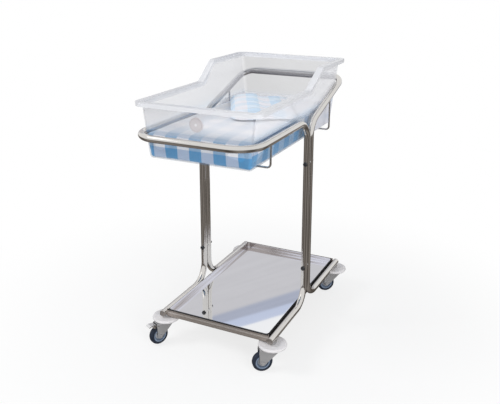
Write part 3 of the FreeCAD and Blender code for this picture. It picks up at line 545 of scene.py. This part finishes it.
def make_mattress():
    """Mattress in a check cover that lies over its top and runs down over the edges."""
    low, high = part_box("mattress")
    item = soft_copy("mattress", "mattress_cover")
    middle, reach = np.array((low + high) / 2), np.array((high - low) / 2)
    points = coordinates(item.data)
    points[:, :2] += (middle[:2] - points[:, :2]) * 0.004     # room for the swelling
    put_coordinates(item.data, points)
    puff(item, pressure=4.0, cap=0.004)
    subdivide(item)

    # u, v and w go from -1 to 1 across the width, the length and the height.
    points = coordinates(item.data)
    u, v, w = ((points - middle) / reach).T
    edge = np.maximum(np.abs(u), np.abs(v))
    top = np.clip((w - 0.5) / 0.5, 0, 1)
    creases = smooth_noise(points * np.array((1.0, 0.5, 1.0)), scale=14.0, seed=3.0)
    ripple = smooth_noise(points, scale=40.0, seed=9.0)
    fall = -0.0050 * np.clip(edge, 0, 1) ** 9                 # the top drops towards its edges
    points[:, 2] += top * (fall + 0.0022 * creases + 0.0008 * ripple - 0.0014)

    # The sides pull in between the edges, with small tucks at the corners.
    side = np.clip((edge - 0.93) / 0.07, 0, 1) * (1 - top)
    corner = np.clip(np.minimum(np.abs(u), np.abs(v)) - 0.80, 0, 0.2) / 0.2
    tuck = np.sin((np.abs(u) - np.abs(v)) * 90 + w * 2.5) * corner * 0.0012
    inward = side * (0.0003 + 0.0007 * creases - 0.0006 * np.cos(w * 3) + tuck)
    points[:, 0] -= np.sign(u) * (np.abs(u) > np.abs(v) * 0.97) * inward
    points[:, 1] -= np.sign(v) * (np.abs(v) > np.abs(u) * 0.97) * inward

    # Back to the solid's width and length, and nowhere prouder than PROUD.
    flat = points[:, :2] - middle[:2]
    points[:, :2] = middle[:2] + flat * ((reach[:2] + 0.0011) / np.abs(flat).max(axis=0))
    lowest = np.array(low) + (-PROUD, -PROUD, 0)
    highest = np.array(high) + (PROUD, PROUD, -0.0001)
    put_coordinates(item.data, np.clip(points, lowest, highest))

    def over_edge(point, normal):
        x, y, z = point
        drop = high.z - z
        if abs(normal.z) >= max(abs(normal.x), abs(normal.y)):
            return x, y + OVERHANG
        if abs(normal.y) > abs(normal.x):
            return x, (low.y - drop) if normal.y < 0 else (high.y + drop)
        return (high.x + drop) if normal.x > 0 else (low.x - drop), y

    lay_cloth(item, over_edge)
    colors = (0.84, 0.83, 0.85), (0.45, 0.54, 0.70), (0.26, 0.42, 0.61), (0.045, 0.275, 0.55)
    phases = -0.0126, low.y - high.z + 0.798
    item.data.materials.append(gingham("gingham_mattress", colors, phases, painted_top_light=(0.48, 0.75)))
    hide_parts("mattress")
    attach(item, "mattress")


def make_pillow():
    """Slack pillow lying askew, highest at its far left, with ripples across it."""
    low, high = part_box("pillow")
    item = soft_copy("pillow", "pillow_cover")
    centre = np.array((low + high) / 2)[:2]
    cos, sin = math.cos(PILLOW_TURN), math.sin(PILLOW_TURN)
    turn = np.array(((cos, -sin), (sin, cos)))
    puff(item, pressure=3.0, cap=0.006)
    subdivide(item)

    # local lies along the pillow; u and v go from -1 to 1 across its width and its length.
    points = coordinates(item.data)
    local = points.copy()
    local[:, :2] = (points[:, :2] - centre) @ turn
    local[:, :2] *= PILLOW_HALF / np.abs(local[:, :2]).max(axis=0)
    u, v = (local[:, :2] / PILLOW_HALF).T
    near = np.clip(-v, 0, 1)                                  # its near half reaches forward
    local[:, 1] -= near ** 2 * (0.036 + 0.007 * np.cos(u * 3.3 + 1.3))

    # Thickness: thin at the edges, plump at the far left, with folds that fade away from it.
    height = np.clip((local[:, 2] - low.z) / (high.z - low.z), 0, 1)
    fall = np.clip((1 - np.abs(u) ** 4) * (1 - np.abs(v) ** 5), 0, 1) ** 0.5
    across = local[:, 1] + 0.012 * np.sin(local[:, 0] * 19)
    folds = (0.0028 * np.sin(across * 150) * np.clip(0.9 - 0.5 * v, 0.2, 1)
             + 0.0030 * smooth_noise(local, scale=22.0, seed=5.0)
             + 0.0012 * smooth_noise(local, scale=60.0, seed=1.0))
    left = np.clip((0.16 - u) / 0.45, 0, 1)
    plump = 0.013 + 0.017 * left * left * (3 - 2 * left) * (0.75 + 0.25 * v)
    plump = plump + 0.010 * np.clip(-v - 0.35, 0, 0.4) * np.clip(u + 0.6, 0, 1)
    thick = EDGE_THICK + plump * fall + folds * height * fall
    lifted_edge = 0.0025 * (1 - fall) * (1 + np.sin(local[:, 0] * 45 + 0.8)) * (1 - height)
    local[:, 2] = low.z + EDGE_GAP + lifted_edge + thick * height

    # An uneven outline.
    wave = smooth_noise(local * np.array((1, 1, 0)), scale=24.0, seed=7.0)
    local[:, 0] += np.sign(u) * np.abs(u) ** 4 * 0.003 * wave
    local[:, 1] += np.sign(v) * np.abs(v) ** 4 * 0.005 * wave
    points[:, :2] = local[:, :2] @ turn.T + centre
    points[:, 2] = local[:, 2]
    put_coordinates(item.data, points)

    def along_pillow(point, normal):
        x, y = (np.array(point[:2]) - centre) @ turn
        drop = point[2] - low.z
        if abs(normal.z) > 0.5:
            return x, y
        return (x, y - drop) if y < 0 else (x, y + drop)

    lay_cloth(item, along_pillow)
    colors = (0.80, 0.79, 0.83), (0.68, 0.77, 0.86), (0.60, 0.74, 0.86), (0.47, 0.67, 0.85)
    item.data.materials.append(gingham("gingham_pillow", colors, (0.058, 0.01), fade=0.28,
                                       painted_shadow_height=low.z + 0.0055))
    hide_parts("pillow")
    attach(item, "pillow")


# ---- tray edge --------------------------------------------------------------------------------

def make_front_strip():
    """Rubber edging hooked over the front bar, beside the pan's own strip."""
    low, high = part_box("tray_front_bar")
    # Section in Y and Z, from the bar's top front edge: a lip in front, a leaf on top.
    profile = [(-0.0009, -0.0030), (-0.0009, 0.0004), (-0.0004, 0.0009), (0.0030, 0.0009),
               (0.0034, 0.0005), (0.0034, 0.0001), (-0.0001, 0.0001), (-0.0001, -0.0030)]
    margin, steps, count = 0.002, 24, len(profile)
    points, faces = [], []
    for k in range(steps + 1):
        x = low.x + margin + (high.x - low.x - 2 * margin) * k / steps
        points += [(x, low.y + y, high.z + z) for y, z in profile]
    for k in range(steps):
        for j in range(count):
            a, b = k * count + j, k * count + (j + 1) % count
            faces.append((a, a + count, b + count, b))
    faces += [tuple(range(count)), tuple(reversed(range(steps * count, (steps + 1) * count)))]
    mesh = bpy.data.meshes.new("front_edge_strip")
    mesh.from_pydata(points, [], faces)
    item = bpy.data.objects.new("front_edge_strip", mesh)
    scene.collection.objects.link(item)
    mesh.materials.append(bpy.data.materials["black_rubber"])
    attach(item, "frame")


# ---- stage ------------------------------------------------------------------------------------

def background_rays(tree):
    """1 for the rays that see the background itself: from the camera, mirrored or through."""
    path = tree.nodes.new("ShaderNodeLightPath")
    seen = path.outputs["Is Camera Ray"]
    for ray in ("Is Glossy Ray", "Is Transmission Ray"):
        most = tree.nodes.new("ShaderNodeMath")
        most.operation = "MAXIMUM"
        tree.links.new(seen, most.inputs[0])
        tree.links.new(path.outputs[ray], most.inputs[1])
        seen = most.outputs[0]
    return seen


def only_mirrored(item):
    """Only reflections see this stage piece, and it gives the object no light."""
    for ray in ("camera", "diffuse", "transmission", "volume_scatter", "shadow"):
        setattr(item, "visible_" + ray, False)


def floor():
    """Matte white floor that runs into the white background away from the object."""
    bpy.ops.mesh.primitive_plane_add(size=24)
    item = bpy.context.object
    item.name = "floor"
    n = Nodes("floor_white")
    n.set(Base_Color=FLOOR_WHITE, Roughness=0.9, Specular_IOR_Level=0.1)
    share = n.step(n.length(n.place()), *FLOOR_FADE, 0.76, 1.0)
    share = n.times(share, background_rays(n.tree))
    n.show(n.mix_shaders(share, n.shader.outputs[0], n.emission(WHITE)))
    item.data.materials.append(n.material)


def floor_flag():
    """Dark cloth on the studio floor, fading out away from the object, for metal to mirror."""
    bpy.ops.mesh.primitive_circle_add(vertices=48, radius=FLAG_RADIUS, fill_type="NGON",
                                      location=(0, 0, 0.001))
    item = bpy.context.object
    item.name = "floor_flag"
    n = Nodes("floor_flag")
    x, y, _ = n.position()
    angle = n.math("ARCTAN2", y, x)
    spokes = n.math("SINE", n.math("MULTIPLY_ADD", angle, 5.0, 0.8))
    spokes = n.math("MULTIPLY_ADD", spokes, 0.5, n.noise(1.7, 2.0))
    tone = n.mix(spokes, (0.10, 0.088, 0.078, 1), (0.30, 0.275, 0.255, 1))
    clear = n.step(n.length(n.place()), *FLAG_FADE)
    n.show(n.mix_shaders(clear, n.emission(tone), n.add("BsdfTransparent").outputs[0]))
    item.data.materials.append(n.material)
    only_mirrored(item)


def card(name, corners):
    """A flat studio card and its nodes."""
    mesh = bpy.data.meshes.new(name)
    mesh.from_pydata(corners, [], [range(len(corners))])
    item = bpy.data.objects.new(name, mesh)
    scene.collection.objects.link(item)
    n = Nodes(name)
    mesh.materials.append(n.material)
    only_mirrored(item)
    return n


def rear_card():
    """Slanting grey, slate and sky bands behind the object, for the tray to mirror."""
    n = card("rear_card", [(-3.0, CARD_Y, 0.3), (0.6, CARD_Y, 0.0), (0.6, CARD_Y, 0.58),
                           (-3.0, CARD_Y, 2.54)])
    x, _, z = n.position()
    rise = n.math("MULTIPLY_ADD", x, BAND_SLOPE, n.math("ADD", z, -BAND_LOW))
    plane = n.add("CombineXYZ", X=n.times(rise, 14.0), Y=n.times(x, 0.7))
    streak = n.noise(2.0, 3.0, plane.outputs[0])
    rise = n.math("MULTIPLY_ADD", streak, 0.03, n.math("ADD", rise, -0.015))
    grey = n.mix(streak, (0.60, 0.59, 0.61, 1), (0.70, 0.69, 0.71, 1))
    slate = n.mix(streak, (0.38, 0.41, 0.50, 1), (0.52, 0.55, 0.66, 1))
    color = n.mix(n.step(rise, -0.015, 0.02), grey, slate)
    color = n.mix(n.step(rise, 0.07, 0.10), color, (0.60, 0.66, 0.82, 1))
    color = n.mix(n.step(rise, 0.150, 0.165), color, WHITE)
    n.show(n.emission(color))


def top_card():
    """Softbox that draws a bright line along the polished tubes."""
    n = card("top_card", [(-3.0, -2.6, 2.6), (-1.6, -2.6, 2.6), (-1.6, -0.6, 3.4),
                          (-3.0, -0.6, 3.4)])
    n.show(n.emission(WHITE, strength=1.9))


def room():
    """Soft room light on the object, in front of a white background."""
    world = bpy.data.worlds.new("studio")
    scene.world = world
    world.use_nodes = True
    tree = world.node_tree
    tree.nodes.clear()
    mix = tree.nodes.new("ShaderNodeMixShader")
    tree.links.new(background_rays(tree), mix.inputs[0])
    for socket, color, strength in ((1, ROOM_TINT, ROOM_LIGHT), (2, WHITE, 1.0)):
        background = tree.nodes.new("ShaderNodeBackground")
        background.inputs["Color"].default_value = color
        background.inputs["Strength"].default_value = strength
        tree.links.new(background.outputs[0], mix.inputs[socket])
    output = tree.nodes.new("ShaderNodeOutputWorld")
    tree.links.new(mix.outputs[0], output.inputs["Surface"])


def lamp(name, place, target, size, power):
    """Round soft lamp, kept out of reflections."""
    data = bpy.data.lights.new(name, "AREA")
    data.shape, data.size, data.energy = "DISK", size, power
    item = bpy.data.objects.new(name, data)
    scene.collection.objects.link(item)
    item.location = place
    item.rotation_euler = (Vector(target) - Vector(place)).to_track_quat("-Z", "Y").to_euler()
    item.visible_glossy = False


def build_stage():
    floor()
    floor_flag()
    rear_card()
    top_card()
    room()
    lamp("key", (-2.4, -2.0, 3.2), (0, 0, 0.6), size=1.5, power=72)
    lamp("fill", (3.0, -2.4, 1.7), (0, 0, 0.5), size=2.2, power=85)


scene.view_settings.view_transform = "Standard"
photo_camera()
build_materials()
make_mattress()
make_pillow()
make_front_strip()
build_stage()
